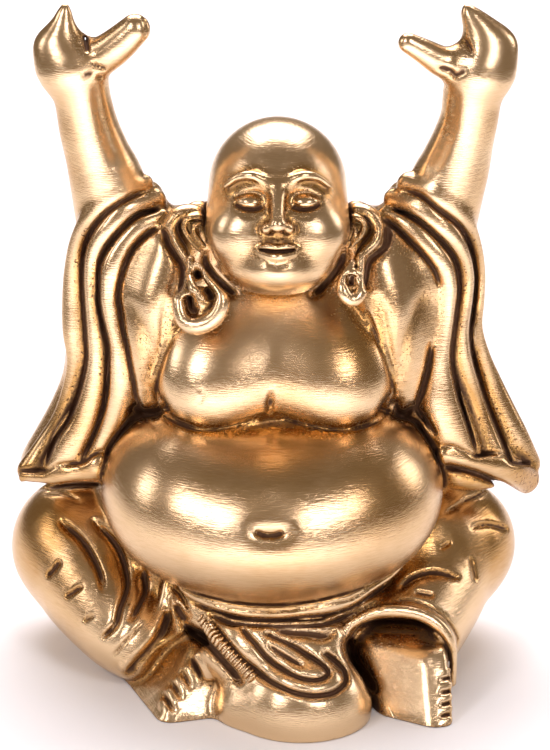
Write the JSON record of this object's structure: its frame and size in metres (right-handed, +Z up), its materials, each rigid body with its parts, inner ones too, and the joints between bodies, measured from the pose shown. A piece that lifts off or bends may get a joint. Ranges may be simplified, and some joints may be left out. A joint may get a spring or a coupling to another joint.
{
  "type": "budai figure",
  "caption": "Seated laughing figure with both arms raised, a round bare belly, a hanging sleeved robe and crossed legs, cast in one piece with a flat underside.",
  "frame": {"origin": "centre of the footprint box on the underside", "axes": "+Z up, the figure faces -Y, +X is the viewer's right"},
  "size_m": [0.1732, 0.1308, 0.23],
  "materials": {
    "brass": "hand-polished antique brass, bright and finely scratched on the high forms, dark brown patina in the folds"
  },
  "bodies": {
    "root": {"figure": "brass"}
  },
  "joints": []
}
